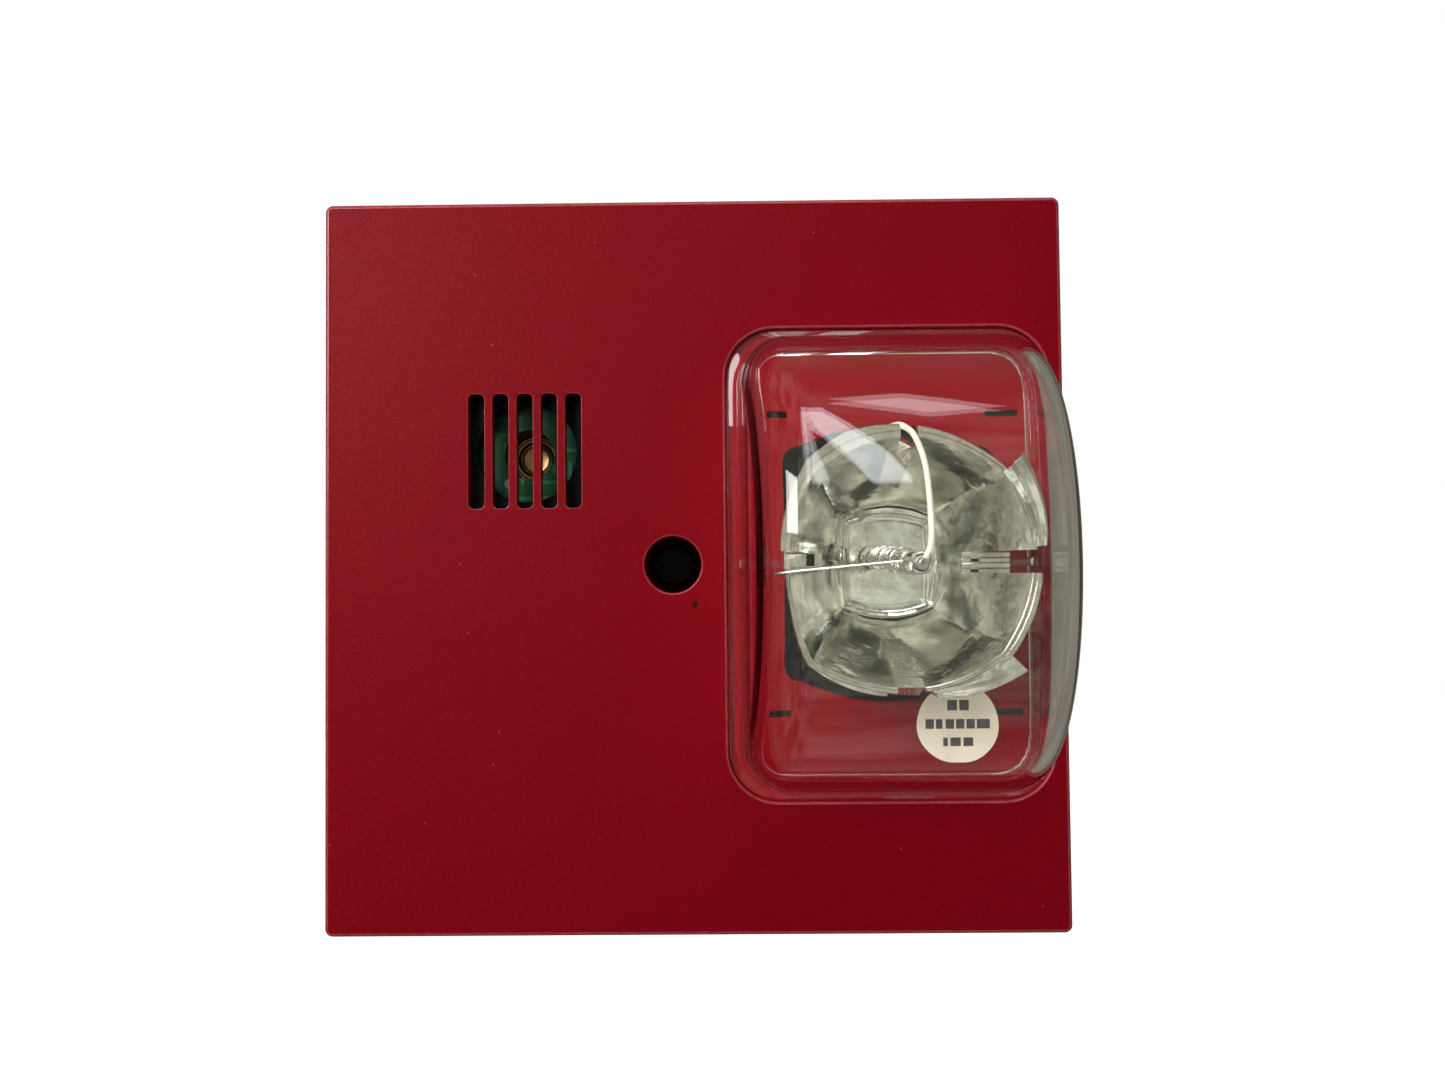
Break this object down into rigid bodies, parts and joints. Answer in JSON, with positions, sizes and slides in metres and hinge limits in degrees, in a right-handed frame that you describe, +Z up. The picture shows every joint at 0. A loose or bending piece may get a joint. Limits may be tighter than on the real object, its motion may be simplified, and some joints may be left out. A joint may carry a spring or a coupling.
{
  "type": "horn strobe",
  "caption": "Wall-mounted red fire alarm horn strobe: slotted horn grille and a xenon flash tube in a mirrored reflector under a clear dome.",
  "frame": {"origin": "middle of the mounting plate's back face, on the wall plane", "axes": "+Y into the wall, so the unit faces -Y; +Z up; +X to the right as seen from the front"},
  "size_m": [0.1142, 0.061, 0.1132],
  "materials": {
    "cover_plastic": "fine moulded texture, satin",
    "clear_polycarbonate": "polished, clear",
    "metallized": "vacuum metallized, slightly wavy",
    "tube_glass": "polished",
    "electrode_metal": "bare",
    "socket_ceramic": "unglazed",
    "lead_insulation": "satin",
    "bare_wire": "bare",
    "label_paper": "printed paper",
    "board_laminate": "solder masked",
    "black_plastic": "fine moulded texture",
    "foam": "open foam",
    "diaphragm_brass": "thin pressed sheet",
    "piezo_ceramic": "silvered",
    "zinc_steel": "zinc plated",
    "dark_steel": "black oxide",
    "insert_brass": "turned",
    "contact_brass": "tinned",
    "capacitor_sleeve": "shrink sleeve",
    "capacitor_sleeve_black": "shrink sleeve",
    "ferrite": "sintered",
    "copper_winding": "enamelled copper",
    "transformer_tape": "polyester tape",
    "film_capacitor": "dipped epoxy",
    "semiconductor": "epoxy",
    "resistor_body": "lacquered",
    "slider_plastic": "satin"
  },
  "bodies": {
    "wall_plate": {"mounting_plate": "black_plastic", "threaded_insert": "insert_brass"},
    "front_unit": {"front_cover": "cover_plastic", "lens": "clear_polycarbonate", "reflector": "metallized", "flash_tube": "tube_glass", "tube_cathode": "electrode_metal", "tube_anode": "electrode_metal", "tube_socket": "socket_ceramic", "anode_lead": "lead_insulation", "trigger_wire": "bare_wire", "rating_label": "label_paper", "circuit_board": "board_laminate", "board_screw_1": "zinc_steel", "board_screw_2": "zinc_steel", "sound_gasket": "foam", "horn_housing": "black_plastic", "horn_diaphragm": "diaphragm_brass", "piezo_disc": "piezo_ceramic", "horn_rear_cap": "black_plastic", "flash_capacitor": "capacitor_sleeve", "filter_capacitor": "capacitor_sleeve_black", "boost_inductor_core": "ferrite", "boost_inductor_winding": "copper_winding", "horn_driver_coil": "ferrite", "trigger_transformer": "transformer_tape", "trigger_capacitor": "film_capacitor", "switching_transistor": "semiconductor", "controller_chip": "semiconductor", "polarity_diode_1": "semiconductor", "polarity_diode_2": "semiconductor", "resistor_1": "resistor_body", "resistor_2": "resistor_body", "resistor_3": "resistor_body", "terminal_block": "black_plastic", "tone_switch": "black_plastic", "rear_housing": "black_plastic", "housing_screw_1": "zinc_steel", "housing_screw_2": "zinc_steel", "housing_screw_3": "zinc_steel", "housing_screw_4": "zinc_steel", "terminal_contact_1": "contact_brass", "terminal_contact_2": "contact_brass", "terminal_contact_3": "contact_brass", "terminal_contact_4": "contact_brass"},
    "screw_retainer": {"retaining_washer": "zinc_steel"},
    "captive_screw": {"mounting_screw": "dark_steel"},
    "clamp_1": {"wire_clamp_1": "zinc_steel"},
    "clamp_screw_1": {"terminal_screw_1": "zinc_steel"},
    "clamp_2": {"wire_clamp_2": "zinc_steel"},
    "clamp_screw_2": {"terminal_screw_2": "zinc_steel"},
    "clamp_3": {"wire_clamp_3": "zinc_steel"},
    "clamp_screw_3": {"terminal_screw_3": "zinc_steel"},
    "clamp_4": {"wire_clamp_4": "zinc_steel"},
    "clamp_screw_4": {"terminal_screw_4": "zinc_steel"},
    "tone_slider_1": {"tone_slider_1": "slider_plastic"},
    "tone_slider_2": {"tone_slider_2": "slider_plastic"}
  },
  "joints": [
    {"name": "front_unit_release", "type": "slide", "parent": "wall_plate", "child": "front_unit", "axis": [0, -1, 0], "range_m": [0, 0.05]},
    {"name": "mounting_screw_travel", "type": "slide", "parent": "front_unit", "child": "screw_retainer", "axis": [0, -1, 0], "range_m": [0, 0.00476]},
    {"name": "mounting_screw_turn", "type": "hinge", "parent": "screw_retainer", "child": "captive_screw", "pos_m": [-0.0033, -0.0179, 0], "axis": [0, -1, 0], "range_deg": [0, 2160]},
    {"name": "wire_clamp_1_travel", "type": "slide", "parent": "front_unit", "child": "clamp_1", "axis": [0, 1, 0], "range_m": [0, 0.00238]},
    {"name": "terminal_screw_1_turn", "type": "hinge", "parent": "clamp_1", "child": "clamp_screw_1", "pos_m": [-0.0395, -0.0115, -0.027], "axis": [0, 1, 0], "range_deg": [0, 1080]},
    {"name": "wire_clamp_2_travel", "type": "slide", "parent": "front_unit", "child": "clamp_2", "axis": [0, 1, 0], "range_m": [0, 0.00238]},
    {"name": "terminal_screw_2_turn", "type": "hinge", "parent": "clamp_2", "child": "clamp_screw_2", "pos_m": [-0.0305, -0.0115, -0.027], "axis": [0, 1, 0], "range_deg": [0, 1080]},
    {"name": "wire_clamp_3_travel", "type": "slide", "parent": "front_unit", "child": "clamp_3", "axis": [0, 1, 0], "range_m": [0, 0.00238]},
    {"name": "terminal_screw_3_turn", "type": "hinge", "parent": "clamp_3", "child": "clamp_screw_3", "pos_m": [-0.0215, -0.0115, -0.027], "axis": [0, 1, 0], "range_deg": [0, 1080]},
    {"name": "wire_clamp_4_travel", "type": "slide", "parent": "front_unit", "child": "clamp_4", "axis": [0, 1, 0], "range_m": [0, 0.00238]},
    {"name": "terminal_screw_4_turn", "type": "hinge", "parent": "clamp_4", "child": "clamp_screw_4", "pos_m": [-0.0125, -0.0115, -0.027], "axis": [0, 1, 0], "range_deg": [0, 1080]},
    {"name": "tone_slider_1_travel", "type": "slide", "parent": "front_unit", "child": "tone_slider_1", "axis": [0, 0, 1], "range_m": [0, 0.0016]},
    {"name": "tone_slider_2_travel", "type": "slide", "parent": "front_unit", "child": "tone_slider_2", "axis": [0, 0, 1], "range_m": [0, 0.0016]}
  ],
  "couplings": [
    {"joint": "mounting_screw_turn", "follows": "mounting_screw_travel", "rad_per_m": 7915.8},
    {"joint": "terminal_screw_1_turn", "follows": "wire_clamp_1_travel", "rad_per_m": 7915.8},
    {"joint": "terminal_screw_2_turn", "follows": "wire_clamp_2_travel", "rad_per_m": 7915.8},
    {"joint": "terminal_screw_3_turn", "follows": "wire_clamp_3_travel", "rad_per_m": 7915.8},
    {"joint": "terminal_screw_4_turn", "follows": "wire_clamp_4_travel", "rad_per_m": 7915.8}
  ]
}
